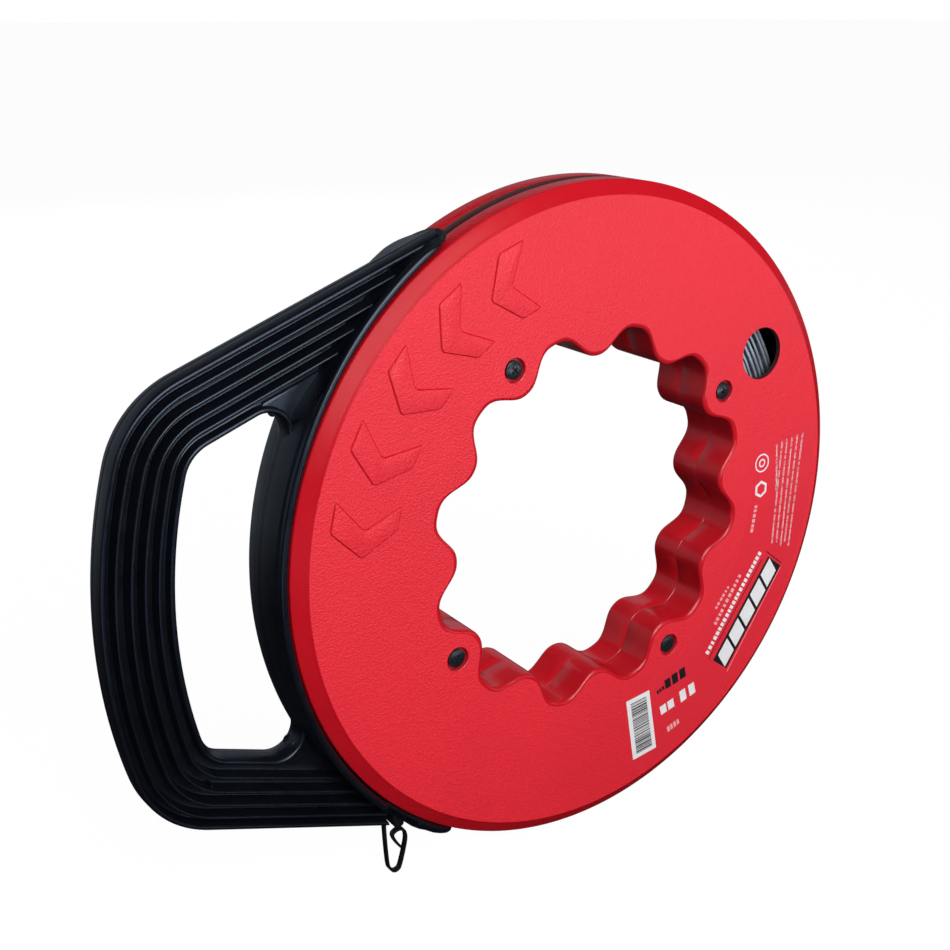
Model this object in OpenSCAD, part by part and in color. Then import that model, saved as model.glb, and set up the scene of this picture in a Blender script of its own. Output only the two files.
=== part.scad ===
// Fish tape reel: a two-shell ring case that spins inside a ribbed D-handle.
// Frame: the origin is on the spin axis at the middle of the case thickness.
// The spin axis is Y, the printed face looks to -Y, the handle is on -X, +Z is up.
// Name endings: _r radius, _d diameter, _w width, _hw half width along Y, _t thickness,
// _a angle in degrees from +X towards +Z, _y place along Y. Flat points are (x, z).

/* [Case] */
// Outer radius of the two case rims
case_r = 155; // [150:1:160]
// Radius where the flat face ends and the shoulder begins
face_r = 148.7; // [147:0.1:150]
// Total thickness of the case over its two flat faces
case_w = 34; // [32:1:38]
// Drop of the sloping shoulder from the flat face to the rim edge
shoulder_drop = 3.8; // [3:0.1:4.5]
// Width of the slot between the two rims
slot_w = 6; // [5.4:0.2:7]
// Wall thickness of the shells
wall = 2.6; // [2.2:0.1:3]
// Radial thickness of the rims
rim_t = 3; // [2.6:0.1:3.2]
// Turn of the case in the handle at rest, in degrees
case_turn = 121.4; // [60:0.1:180]

/* [Centre grip] */
// Radius of the inward lobes of the centre hole
lobe_r = 77.2; // [76:0.1:79]
// Radius of the outward hollows of the centre hole
hollow_r = 90.1; // [88:0.1:91]
// Number of lobes round the centre hole
lobes = 12; // [12]

/* [Case screws] */
// Radius of the circle the four case screws sit on
screw_circle_r = 91.3; // [91:0.1:92]
// Diameter of the pan heads
head_d = 8.4; // [7.6:0.1:8.8]
// Diameter of the round recesses
recess_d = 10.6; // [10:0.1:11]

/* [Viewing window] */
// Diameter of the open window
window_d = 25.5; // [20:0.5:27]
// Radius of the window's centre
window_r = 120.4; // [119:0.1:122]

/* [Label] */
// Inner radius of the label
label_r1 = 102; // [101:0.5:110]
// Outer radius of the label
label_r2 = 144.8; // [130:0.1:145]

/* [Tape] */
// Width of the flat steel tape along the spin axis
tape_w = 3.2; // [3:0.1:3.4]
// Thickness of the flat steel tape
tape_t = 1.5; // [1.4:0.1:1.6]
// Inner radius of the wound tape
coil_r1 = 99; // [98:0.5:101]
// Outer radius of the wound tape
coil_r2 = 134; // [125:0.5:134]
// Half width of the wound tape along the spin axis
coil_hw = 6.6; // [6:0.1:9]

/* [Handle] */
// Distance of the grip's outer ridge from the spin axis
grip_x = 228.9; // [226:0.1:232]
// Distance of both arms' outer lines from the spin axis
arm_h = 155.7; // [155.4:0.1:157]
// Slope of the arms from the horizontal, in degrees
arm_slope = 20.4; // [19.4:0.2:21]
// Radius of the outer corners
corner_r = 45.3; // [42:0.5:46]
// Thickness of one rib
rib_t = 1.7; // [1.4:0.1:1.9]
// Half width of the saddle along the spin axis, to the top of its bead
saddle_hw = 16.8; // [16.6:0.1:17]
// Play: how far the handle sits raised over the case at rest
lift = 1.2; // [0:0.1:1.4]

/* [Hidden] */

red = "#d8202e";
black = "#17191d";
steel = "#3b4046";

far_y = -20;                             // beyond every part on the -Y side

// ---- Shared shapes ----

function polar(r, a) = [r*cos(a), r*sin(a)];
// Closes an upper half outline with its mirror image, down to point number stop
function add_lower(half, stop) =
    concat(half, [for (i = [len(half)-2:-1:stop]) [half[i][0], -half[i][1]]]);

// Draws a 2D shape (x, z) as a plate from y0 to y1
module plate(y0, y1) {
    translate([0, y1, 0]) rotate([90, 0, 0]) linear_extrude(y1 - y0) children();
}
// Turns a 2D section (radius, y) about the spin axis
module spin() { rotate([-90, 0, 0]) rotate_extrude($fn = 180) children(); }
// Cylinder along Y at (x, z) from y0 to y1
module rod(at, d, y0, y1) {
    translate([at[0], y1, at[1]]) rotate([90, 0, 0]) cylinder(d = d, h = y1 - y0, $fn = 48);
}
module disc(r) { circle(r = r, $fn = 180); }
// Pie wedge in the x-z plane, reaching beyond every part
module wedge(from, to) {
    polygon(concat([[0, 0]], [for (i = [0:8]) polar(320, from + (to - from)*i/8)]));
}
// Section (radius, y) turned about the spin axis between two angles, -Y side only
module sector(from, to) {
    intersection() {
        spin() children();
        plate(far_y, 0) wedge(from, to);
    }
}

// ---- Case ----

face_y = -case_w/2;                      // front flat face
inner_y = face_y + wall;
rim_y = face_y + shoulder_drop;
rim_inner_r = case_r - rim_t;
hub_r = 70;                              // start of the face section, inside the centre hole
wave_mid_r = (lobe_r + hollow_r)/2;
wave_swing = (hollow_r - lobe_r)/2;
wave_steps = lobes*16;
join = 0.5;                              // overlap of joined pieces

screw_spots = [for (i = [0:3]) polar(screw_circle_r, case_turn + 90*i)];
screw_d = 4;
boss_d = 9.4;
recess_depth = 2.4;
head_dome_r = 10.25;
head_dome_h = 0.8;                       // height of the dome over the head's edge
head_top_y = face_y + 0.1;

// Post for the tape's inner end, beside the lobe next to the first screw
post_a = case_turn + 360/lobes;
post_spot = polar(89, post_a);
post_d = 7;
anchor_d = 3;

// Raised chevrons on the front face
chevron_r = [109, 141];
chevron_first_a = 108;
chevron_pitch_a = 14;
chevron_band_a = 5.6;
chevron_point_a = 5.27;                  // lead of the point over the ends

label_a = [-80, 9];
label_sink = 0.3;                        // depth of the label's seat

// Scallop curve of the centre hole, widened by grow
function wave(grow) = [for (i = [0:wave_steps-1]) let (a = case_turn + i*360/wave_steps)
    polar(wave_mid_r + grow - wave_swing*cos(lobes*(a - case_turn)), a)];

// One shell on the -Y side, before its holes are cut
module shell_body() {
    difference() {
        spin() polygon([
            [hub_r, face_y], [face_r, face_y], [case_r, rim_y],
            [case_r, -slot_w/2], [rim_inner_r, -slot_w/2],
            [rim_inner_r, rim_y + 0.9], [face_r - 0.9, inner_y], [hub_r, inner_y]]);
        plate(face_y - 1, 0) polygon(wave(0));
    }
    // hub wall that follows the scallops
    difference() {
        plate(inner_y - join, 0) polygon(wave(wall));
        plate(face_y - 1, 1) polygon(wave(0));
    }
    // screw bosses
    for (spot = screw_spots) rod(spot, boss_d, inner_y - join, 0);
}

// One chevron that starts at angle a and points to larger angles
module chevron(a) {
    mid_r = (chevron_r[0] + chevron_r[1])/2;
    end_a = a + chevron_band_a;
    polygon([
        polar(chevron_r[0], a), polar(chevron_r[0], end_a), polar(mid_r, end_a + chevron_point_a),
        polar(chevron_r[1], end_a), polar(chevron_r[1], a), polar(mid_r, a + chevron_point_a)]);
}

module front_shell() color(red) difference() {
    union() {
        shell_body();
        for (i = [0:4])
            plate(face_y - 0.6, face_y + join) chevron(chevron_first_a + chevron_pitch_a*i);
    }
    for (spot = screw_spots) {
        rod(spot, recess_d, face_y - 1, face_y + recess_depth);
        rod(spot, screw_d + 0.4, face_y, 1);
    }
    rod(polar(window_r, case_turn - 90), window_d, face_y - 1, inner_y + 1);
    // shallow seat for the label
    sector(label_a[0] - 0.2, label_a[1] + 0.2)
        translate([label_r1 - 0.4, face_y - 1])
            square([label_r2 - label_r1 + 0.7, 1 + label_sink]);
}

module rear_shell() color(red) difference() {
    union() {
        mirror([0, 1, 0]) shell_body();
        // post that holds the inner end of the tape
        rod(post_spot, post_d, 1.6, -inner_y + join);
    }
    for (spot = screw_spots) rod(spot, screw_d + 0.1, -1, 12.2);
    rod(post_spot, anchor_d + 0.1, 0, 11);
}

module case_screws() color(black) for (spot = screw_spots) difference() {
    union() {
        rod(spot, head_d, head_top_y + head_dome_h, face_y + recess_depth);
        // domed top of the head
        intersection() {
            translate([spot[0], head_top_y + head_dome_r, spot[1]])
                sphere(r = head_dome_r, $fn = 48);
            rod(spot, head_d, face_y, face_y + 1);
        }
        rod(spot, screw_d, face_y + recess_depth - 0.1, 11.6);
    }
    // cross slot
    translate([spot[0], face_y, spot[1]])
        for (turn = [45, 135]) rotate([0, turn, 0]) cube([1.1, 2.6, 4.4], center = true);
}

module face_label() color("#c8242e") sector(label_a[0], label_a[1])
    translate([label_r1, face_y + 0.05]) square([label_r2 - label_r1, label_sink - 0.05]);

// ---- Wound tape and its anchor ----

turn_pitch = 2.9;                        // radial step between drawn turns
last_turn = floor((coil_r2 - coil_r1 - 2)/turn_pitch);
layer_pitch = 4;                         // step along Y of the turns on the coil's two rims
strap_y = 4.2;
strap_loop_d = 10.2;
strap_end_a = case_turn + 44;

// Section of one turn with its inner corner at (r, y)
module tape_turn(r, y) { translate([r, y]) square([tape_t, tape_w]); }

// Solid core with single turns standing out on all four sides
module tape_coil() color(steel) spin() union() {
    translate([coil_r1 + 1, -coil_hw + 1.2]) square([coil_r2 - coil_r1 - 2, 2*coil_hw - 2.4]);
    for (i = [0:last_turn]) {
        r = coil_r1 + 0.4 + turn_pitch*i;
        uneven = 0.5*sin(137*i);
        tape_turn(r, -coil_hw + uneven);
        tape_turn(r + 0.2, coil_hw - tape_w + uneven);
    }
    for (j = [0:2]) {
        y = -coil_hw + 1 + layer_pitch*j;
        tape_turn(coil_r1, y);
        tape_turn(coil_r2 - tape_t - 0.3*(j % 2), y);
    }
}

// Steel strap: the tape's inner end, looped round the post and joined to the first turn
module tape_anchor_strap() color(steel) difference() {
    union() {
        rod(post_spot, strap_loop_d, strap_y, strap_y + tape_w);
        plate(strap_y, strap_y + tape_w) polygon([
            post_spot + polar(strap_loop_d/2 - tape_t, post_a),
            post_spot + polar(strap_loop_d/2, post_a),
            polar(coil_r1 - 0.1, strap_end_a),
            polar(coil_r1 - 0.1 - tape_t, strap_end_a)]);
    }
    rod(post_spot, post_d + 0.1, 0, 12);
}

module anchor_screw() color("#9aa0a6") {
    rod(post_spot, anchor_d, 1.5, 10.4);
    rod(post_spot, 6.6, -0.7, 1.55);
}

// ---- Handle outline ----

normal_a = 90 + arm_slope;               // direction of the upper arm's outward normal
arm_dir = polar(1, normal_a + 90);       // along the upper arm, towards the grip
crown_r = 244;                           // radius of the grip's outer ridge
crown_mid = [crown_r - grip_x, 0];

// The upper corner's centre is where the arm line and the grip arc, both moved in by
// corner_r, meet: |arm_foot + reach*arm_dir - crown_mid| = crown_r - corner_r
arm_foot = polar(arm_h - corner_r, normal_a);
foot_offset = arm_foot - crown_mid;
foot_along = foot_offset*arm_dir;
reach = -foot_along + sqrt(foot_along*foot_along
    - (foot_offset*foot_offset - pow(crown_r - corner_r, 2)));
corner_mid = arm_foot + reach*arm_dir;
crown_a = atan2(corner_mid[1], corner_mid[0] - crown_mid[0]);  // where corner and crown join

// Upper half of the outline moved in by inset: right end, arm, corner, half of the grip
function upper_line(inset) = concat(
    [polar(arm_h - inset, normal_a)],
    [for (i = [0:12])
        corner_mid + polar(corner_r - inset, normal_a + (crown_a - normal_a)*i/12)],
    [for (i = [1:6]) crown_mid + polar(crown_r - inset, crown_a + (180 - crown_a)*i/6)]);
function outline(inset) = add_lower(upper_line(inset), 0);

// Hand opening: outline moved in by inset, closed by an arc of radius arc_r round the
// middle, with fillets between arc and arms
module opening(inset, arc_r, fillet) {
    line_h = arm_h - inset - fillet;
    fillet_mid = polar(line_h, normal_a) + sqrt(pow(arc_r + fillet, 2) - line_h*line_h)*arm_dir;
    fillet_a = atan2(fillet_mid[1], fillet_mid[0]);
    upper = upper_line(inset);
    polygon(add_lower(concat(
        [for (i = [0:6]) polar(arc_r, 180 + (fillet_a - 180)*i/6)],
        [for (i = [1:8])
            fillet_mid + polar(fillet, fillet_a - 180 + (normal_a - fillet_a + 180)*i/8)],
        [for (i = [1:len(upper)-1]) upper[i]]), 1));
}

// Region of the handle outline outside the case
module arm_region(inset) {
    difference() {
        polygon(outline(inset));
        disc(160);
    }
}
// Band of that region between two insets
module arm_band(outer, inner) {
    difference() {
        arm_region(outer);
        polygon(outline(inner));
    }
}

// ---- Tape exit ----

// The tape leaves the outer turn along a straight line to the exit
lead_normal = polar(1, 194.65);
lead_dir = [0.2529, -0.9675];
lead_start = (coil_r2 + tape_t/2 + 0.25)*lead_normal;
function lead(along, off = 0) = lead_start + along*lead_dir + off*lead_normal;

passage_off = 1.2;                       // half thickness of the passage for the tape
guide_hw = 7;
guide_seat_hw = guide_hw + 0.2;
seat_r = 157.7;                          // floor of the seat, over the saddle's thin inner wall

// Outline of the exit guide, widened by gap
module guide_shape(gap) polygon([
    lead(86 - gap, -1.15 + gap/3), lead(94.5, -1.15 + gap/3),
    [-105.3 - gap/3, -126.6 - gap], [-102.6, -126.9 - gap],
    [-101 + gap, -125.4], [-101 + gap, -118.2 + gap], [-105.6, -115 + gap]]);

// ---- Handle halves, drawn on the -Y side round the handle's own middle ----

web_t = 1.5;                             // web thickness in one half
open_inset = 30.4;                       // inset of the hand opening
// Ribs: inset of the rib's middle line, height over the middle plane
ribs = [[6.2, 8.1], [11.9, 9.0], [17.35, 8.6], [23.05, 7.8]];

saddle_r1 = case_r + 2;                  // inner radius of the saddle
saddle_r2 = 162.3;                       // outer radius of the saddle at the middle plane
saddle_edge_r = 160.9;                   // outer radius where the side slope ends
bead_outer_r = 160.3;
bead_r = (bead_outer_r - saddle_r1)/2;
bead_y = -saddle_hw + bead_r;
bead_end_a = 223.4;                      // lower end of the beaded part
tip_a = 118.2;                           // upper end of the saddle; the lower end mirrors it
tip_round_r = 13;
rail_spans = [[124, 215], [233, 238.6]];

rivet_spots = [[-150.6, 72.5], [-150.6, -72.5]];
rivet_d = 2.8;
peg_spots = [[-203.5, 60], [-203.5, -60]];
peg_d = 3;

// Section (radius, y) of one half of the saddle with its bead
module beaded_section() {
    polygon([[saddle_r1, 0], [saddle_r2, 0], [saddle_edge_r, -12.6],
        [bead_outer_r, -13.2], [bead_outer_r, bead_y], [saddle_r1, bead_y]]);
    translate([(saddle_r1 + bead_outer_r)/2, bead_y]) intersection() {
        circle(r = bead_r, $fn = 32);
        translate([-4, -4]) square([8, 4.2]);
    }
}

// Section (radius, y) of the saddle without a bead, hw wide
module plain_section(hw) {
    polygon([[saddle_r1, 0], [saddle_r2, 0], [saddle_edge_r, -hw + 2.4],
        [159.6, -hw + 0.8], [158.7, -hw], [saddle_r1, -hw]]);
}

// Cutter that rounds the corner of the saddle's end at angle a;
// side = 1 when the saddle lies at larger angles, hw is its half width there
module tip_cut(a, side, hw) rotate([0, -a, 0]) difference() {
    translate([150, -22, side > 0 ? -2 : -tip_round_r])
        cube([20, 22 - hw + tip_round_r, tip_round_r + 2]);
    translate([149, -hw + tip_round_r, side*tip_round_r])
        rotate([0, 90, 0]) cylinder(r = tip_round_r, h = 22, $fn = 48);
}

module arms_and_grip(wall_hw) {
    // web
    plate(-web_t, 0) difference() {
        arm_region(0.3);
        opening(open_inset - 1.4, saddle_r2 - 0.6, 11);
    }
    // outer wall
    plate(-wall_hw, 0) arm_band(0, 2.7);
    for (rib = ribs) plate(-rib[1], 0) arm_band(rib[0] - rib_t/2, rib[0] + rib_t/2);
    // wall round the hand opening
    plate(-6, 0) intersection() {
        difference() {
            opening(27.6, saddle_r2 - 3, 13);
            opening(open_inset, saddle_r2, 10);
        }
        arm_region(20);
    }
    // thick corners at the ends of the opening
    plate(-3, 0) intersection() {
        difference() {
            arm_region(27.5);
            opening(open_inset - 1, saddle_r2 - 1, 11);
        }
        translate([-176, -110]) square([80, 220]);
    }
}

// Saddle round the case, kept inside the handle outline
module saddle(front) intersection() {
    union() {
        sector(tip_a, bead_end_a) if (front) beaded_section(); else plain_section(14.6);
        sector(bead_end_a - 0.1, 360 - tip_a) plain_section(front ? 15 : 14.6);
    }
    plate(far_y, 0) polygon(outline(0));
}

// Rail that runs in the slot between the rims, with a wider foot inside them
module rail() {
    neck_y = -slot_w/2 + 0.4;
    foot_y = -7.5;
    for (span = rail_spans) sector(span[0], span[1]) polygon([
        [saddle_r1 + 1, 0], [saddle_r1 + 1, neck_y], [rim_inner_r - 1.6, neck_y],
        [rim_inner_r - 1.6, foot_y], [rim_inner_r - 5, foot_y], [rim_inner_r - 5, 0]]);
}

// Cuts for tape and guide; they follow the case, so they don't share the handle's lift
module exit_cuts() translate([0, 0, -lift]) {
    // way out for the tape
    plate(-2.2, 1) polygon([lead(50, -passage_off), lead(102, -passage_off),
        lead(102, passage_off), lead(50, passage_off)]);
    // seat of the exit guide
    plate(-guide_seat_hw, 1) difference() {
        guide_shape(0.4);
        disc(seat_r);
    }
    // clears the arm to the right of the tape, but not the saddle
    difference() {
        plate(far_y, 1) polygon([lead(72, passage_off), lead(106, passage_off),
            [-101.1, -131], [-101.1, -110]]);
        translate([0, 0, lift]) spin() polygon([[140, -20], [saddle_r2 + 0.1, -20],
            [saddle_r2 + 0.1, 2], [140, 2]]);
    }
    // notch in the saddle in front of the seat
    plate(far_y, -guide_seat_hw) intersection() {
        wedge(bead_end_a, 231.4);
        difference() {
            disc(164);
            disc(seat_r);
        }
    }
}

// The front half is a little wider and has the bead along the case
module handle_half(front) difference() {
    union() {
        arms_and_grip(front ? 7.2 : 5.4);
        saddle(front);
        rail();
    }
    tip_cut(tip_a, 1, front ? saddle_hw : 15.1);
    tip_cut(360 - tip_a, -1, front ? 15.4 : 15.1);
    exit_cuts();
}

module front_handle_half() color(black) translate([0, 0, lift]) {
    difference() {
        handle_half(true);
        for (spot = rivet_spots) rod(spot, rivet_d + 0.1, -4, 1);
    }
    // pegs that line up the two halves
    for (spot = peg_spots) rod(spot, peg_d, -1, 1.3);
}

module rear_handle_half() color(black) translate([0, 0, lift]) difference() {
    mirror([0, 1, 0]) handle_half(false);
    for (spot = rivet_spots) {
        rod(spot, rivet_d + 0.1, -1, 8);
        rod(spot, 5.6, 3, 8);
    }
    for (spot = peg_spots) rod(spot, peg_d + 0.1, -1, 8);
}

// Rivets through both halves: plain end in front, low flat head behind
module handle_rivets() color("#2a2d31") translate([0, 0, lift]) for (spot = rivet_spots) {
    rod(spot, rivet_d, -3.2, 3.1);
    rod(spot, 5.2, 3.05, 4.3);
}

// Guide block at the tape exit, trapped between the handle halves
module exit_guide() color("#0e0f12") plate(-guide_hw, guide_hw) intersection() {
    guide_shape(0);
    difference() {
        circle(r = 190, $fn = 120);
        disc(seat_r + 0.15);
    }
}

// ---- Free end of the tape ----

// Centre line of the hook, as (x, z) points
hook = [
    [-107, -125], [-106.5, -136], [-105.7, -144.2], [-104.5, -149.6], [-102.4, -152.2],
    [-99.9, -151.8], [-98.2, -148.6], [-97, -142.7], [-96.6, -137.6], [-97.5, -134.6],
    [-99.6, -132.9], [-101.7, -133.6], [-102.9, -135.6], [-102.3, -138.4], [-100.2, -141.2]];

// Unit normal of a path at point i
function side(path, i) =
    let (d = path[min(i+1, len(path)-1)] - path[max(i-1, 0)]) [-d[1], d[0]]/norm(d);
// Outline of a strip of thickness t along a path
function ribbon(path, t) = concat(
    [for (i = [0:len(path)-1]) path[i] + side(path, i)*t/2],
    [for (i = [len(path)-1:-1:0]) path[i] - side(path, i)*t/2]);

// Straight lead and hooked free end of the tape
module tape_lead() color(steel) plate(-tape_w/2, tape_w/2)
    polygon(ribbon(concat([lead(0), lead(60), lead(90)], hook), tape_t));

front_shell();
rear_shell();
case_screws();
face_label();
tape_coil();
tape_anchor_strap();
anchor_screw();
front_handle_half();
rear_handle_half();
handle_rivets();
exit_guide();
tape_lead();
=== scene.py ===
"""A round case of wound tape with a looped handle on its left and a hooked tape end below.

The case axis runs along Y through the origin. The front faces -Y, Z is up and the handle
is on the -X side. Shapes are drawn in millimetres and become metres when a mesh is made.
Points in the plane of the case are (x, z); angles run from +X towards +Z. Profiles that
are carried round the case are lists of (radius, y).
"""
import math
import random

import bmesh
import bpy
import numpy as np
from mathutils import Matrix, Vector


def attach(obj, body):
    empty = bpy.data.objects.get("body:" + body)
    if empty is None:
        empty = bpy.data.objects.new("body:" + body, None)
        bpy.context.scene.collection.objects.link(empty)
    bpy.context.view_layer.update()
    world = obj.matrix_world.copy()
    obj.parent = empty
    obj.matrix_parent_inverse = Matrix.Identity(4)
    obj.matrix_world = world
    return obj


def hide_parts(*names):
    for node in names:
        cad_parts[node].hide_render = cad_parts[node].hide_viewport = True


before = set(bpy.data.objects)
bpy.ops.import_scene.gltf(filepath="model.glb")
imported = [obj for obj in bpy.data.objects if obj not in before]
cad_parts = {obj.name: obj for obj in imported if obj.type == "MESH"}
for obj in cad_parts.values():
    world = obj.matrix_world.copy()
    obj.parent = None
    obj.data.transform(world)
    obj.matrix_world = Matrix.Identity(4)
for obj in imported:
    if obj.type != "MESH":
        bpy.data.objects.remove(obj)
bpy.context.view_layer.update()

random.seed(7)

MM = 0.001
DEG = math.pi / 180
FRONT, REAR = -1, 1       # which side of y = 0 a half lies on

# Case, in mm and degrees
CASE_R = 155.0            # outer radius
HALF_DEPTH = 17.0         # from the middle plane to a flat face
CASE_TURN = 121.4         # angle of the first screw and hub lobe
SCREW_CIRCLE = 91.35      # radius the screws sit on
WINDOW_CIRCLE = 120.4     # radius the round window sits on

# Handle, in mm; its outline is two straight arms, two corners and a bowed grip
LIFT = 1.2                # the handle's middle lies this far above the case's
ARM_H = 155.7             # from the middle to an arm's outer edge
ARM_ANGLE = 90 + 20.4     # direction of the upper arm's outward normal, degrees
CORNER_R = 45.3
GRIP_X = 228.9            # reach of the grip to the left
GRIP_R = 244.0            # radius of its bow
ARM_END_R = 157.5         # the arms' ribs end at this radius
TIP_A = 118.2             # angle just before the saddle's upper tip


# ---------------------------------------------------------------- plane geometry
def direction(radians):
    return np.array([math.cos(radians), math.sin(radians)])


def polar(radius, degrees):
    return radius * direction(degrees * DEG)


def between(start, end, k, count):
    """Step k of count on the way from start to end; numbers or points."""
    return start + (end - start) * k / count


def mirrored(point):
    return np.array([point[0], -point[1]])


def unit(vector):
    return vector / np.linalg.norm(vector)


def section_at(profile, degrees, side=1, centre=(0.0, 0.0)):
    """A (radius, y) profile stood up at an angle about an axis along Y."""
    c, s = math.cos(degrees * DEG), math.sin(degrees * DEG)
    return [(centre[0] + r * c, side * y, centre[1] + r * s) for r, y in profile]


# ---------------------------------------------------------------- mesh helpers
class Soup:
    """Collects closed pieces that become one object."""

    def __init__(self):
        self.verts, self.faces = [], []

    def add(self, verts, faces):
        first = len(self.verts)
        self.verts += [tuple(p) for p in verts]
        self.faces += [tuple(i + first for i in f) for f in faces]

    def sweep(self, rings, closed_path=False):
        """Joins equal-length closed sections, each a list of (x, y, z)."""
        n, m = len(rings), len(rings[0])
        faces = []
        for i in range(n if closed_path else n - 1):
            a, b = i * m, ((i + 1) % n) * m
            for j in range(m):
                k = (j + 1) % m
                faces.append((a + j, a + k, b + k, b + j))
        if not closed_path:
            faces.append(tuple(range(m))[::-1])
            faces.append(tuple((n - 1) * m + j for j in range(m)))
        self.add([p for ring in rings for p in ring], faces)

    def loft(self, start, end):
        """A solid between two outlines with the same number of points."""
        m = len(start)
        faces = [tuple(range(m)), tuple(range(2 * m - 1, m - 1, -1))]
        faces += [(j, j + m, (j + 1) % m + m, (j + 1) % m) for j in range(m)]
        self.add(start + end, faces)

    def prism(self, outline, y0, y1):
        self.loft([(p[0], y0, p[1]) for p in outline], [(p[0], y1, p[1]) for p in outline])

    def lathe(self, profile, count, centre=(0.0, 0.0), turn=0.0):
        """Turns a closed (radius, y) profile; points at radius 0 merge later."""
        self.sweep([section_at(profile, turn + 360.0 * i / count, centre=centre)
                    for i in range(count)], closed_path=True)
        return self


def build_mesh(name, soup):
    mesh = bpy.data.meshes.new(name)
    mesh.from_pydata([tuple(float(c) * MM for c in v) for v in soup.verts], [], soup.faces)
    bm = bmesh.new()
    bm.from_mesh(mesh)
    bmesh.ops.remove_doubles(bm, verts=bm.verts, dist=1e-7)
    bmesh.ops.dissolve_degenerate(bm, edges=bm.edges, dist=1e-8)
    bmesh.ops.recalc_face_normals(bm, faces=bm.faces)
    bm.to_mesh(mesh)
    bm.free()
    return mesh


def add_object(name, data):
    ob = bpy.data.objects.new(name, data)
    bpy.context.scene.collection.objects.link(ob)
    return ob


def shade_smooth(mesh, sharp_angle):
    """Smooth shading, with edges steeper than sharp_angle degrees kept sharp."""
    mesh.polygons.foreach_set("use_smooth", [True] * len(mesh.polygons))
    mesh.set_sharp_from_angle(angle=sharp_angle * DEG)


def make(name, soup, mats, body, sharp_angle=None, pick=None):
    """An object riding on a CAD body.

    Without a sharp_angle it stays flat shaded. pick(centre in mm, normal) gives a
    face's material slot.
    """
    mesh = build_mesh(name, soup)
    for mat in mats:
        mesh.materials.append(mat)
    if pick is not None:
        for p in mesh.polygons:
            p.material_index = pick(p.center / MM, p.normal)
    ob = add_object(name, mesh)
    if sharp_angle is not None:
        shade_smooth(mesh, sharp_angle)
    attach(ob, body)
    return ob


def cutter(name, soup):
    return add_object(name, build_mesh(name, soup))


def subtract(ob, cutters):
    """Cuts the cutters out of an object and removes them."""
    for tool in cutters:
        m = ob.modifiers.new("cut", "BOOLEAN")
        m.operation, m.solver, m.object = "DIFFERENCE", "EXACT", tool
    depsgraph = bpy.context.evaluated_depsgraph_get()
    mesh = bpy.data.meshes.new_from_object(ob.evaluated_get(depsgraph))
    old = ob.data
    ob.modifiers.clear()
    ob.data = mesh
    mesh.name = ob.name
    bpy.data.meshes.remove(old)
    for tool in cutters:
        bpy.data.objects.remove(tool)


# ---------------------------------------------------------------- shader helpers
def add_node(tree, kind, inputs=None, **settings):
    """A node whose inputs are set from values or linked from sockets."""
    node = tree.nodes.new(kind)
    for key, value in settings.items():
        setattr(node, key, value)
    for key, value in (inputs or {}).items():
        if isinstance(value, bpy.types.NodeSocket):
            tree.links.new(value, node.inputs[key])
        else:
            node.inputs[key].default_value = value
    return node


def math_node(tree, operation, a, b):
    return add_node(tree, "ShaderNodeMath", {0: a, 1: b}, operation=operation).outputs[0]


def smooth_step(tree, value, off, on):
    """0 at off, 1 at on, whichever of the two is larger."""
    return add_node(tree, "ShaderNodeMapRange", {
        "From Min": min(off, on), "From Max": max(off, on),
        "To Min": 0.0 if off < on else 1.0, "To Max": 1.0 if off < on else 0.0,
        "Value": value}, interpolation_type="SMOOTHSTEP").outputs["Result"]


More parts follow.
